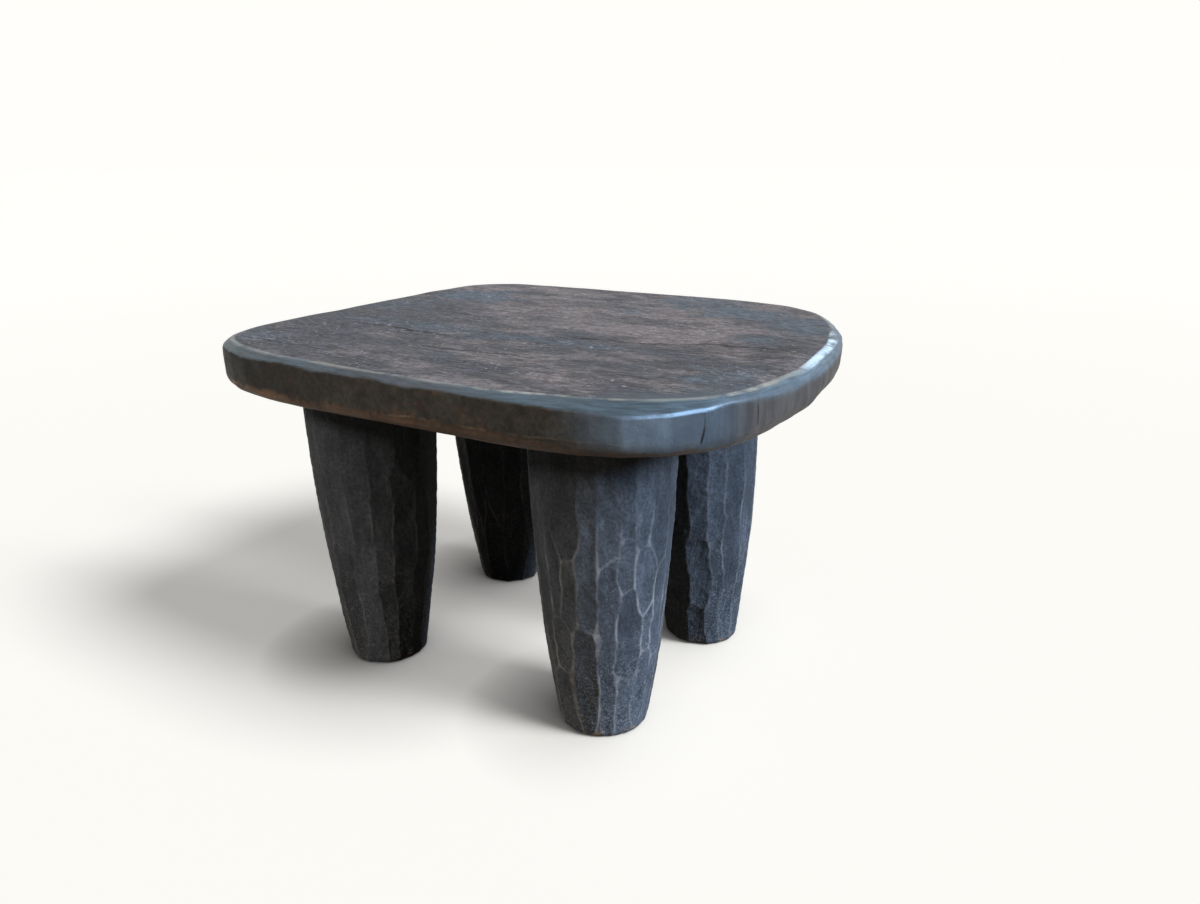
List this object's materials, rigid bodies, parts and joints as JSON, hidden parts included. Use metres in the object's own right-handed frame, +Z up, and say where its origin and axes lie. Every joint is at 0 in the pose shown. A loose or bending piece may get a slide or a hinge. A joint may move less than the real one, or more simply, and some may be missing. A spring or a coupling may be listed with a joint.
{
  "type": "carved wooden stool",
  "caption": "Low stool with a thick rounded wooden slab for a seat on stout bulging adze-cut legs that taper to small flat feet.",
  "frame": {"origin": "on the floor, under the middle of the seat's bounding box", "axes": "+Z up, +X along the seat's grain and its longer side towards the rounder end, +Y towards the back"},
  "size_m": [0.4578, 0.4129, 0.28],
  "materials": {
    "seat_wood": "near-black stained hardwood, worn grey-brown on top and pale along its edges",
    "leg_wood": "near-black stained hardwood with adze cuts, pale where the ridges between cuts are worn"
  },
  "bodies": {
    "root": {"seat": "seat_wood", "leg_front_right": "leg_wood", "leg_front_left": "leg_wood", "leg_back_right": "leg_wood", "leg_back_left": "leg_wood"}
  },
  "joints": []
}
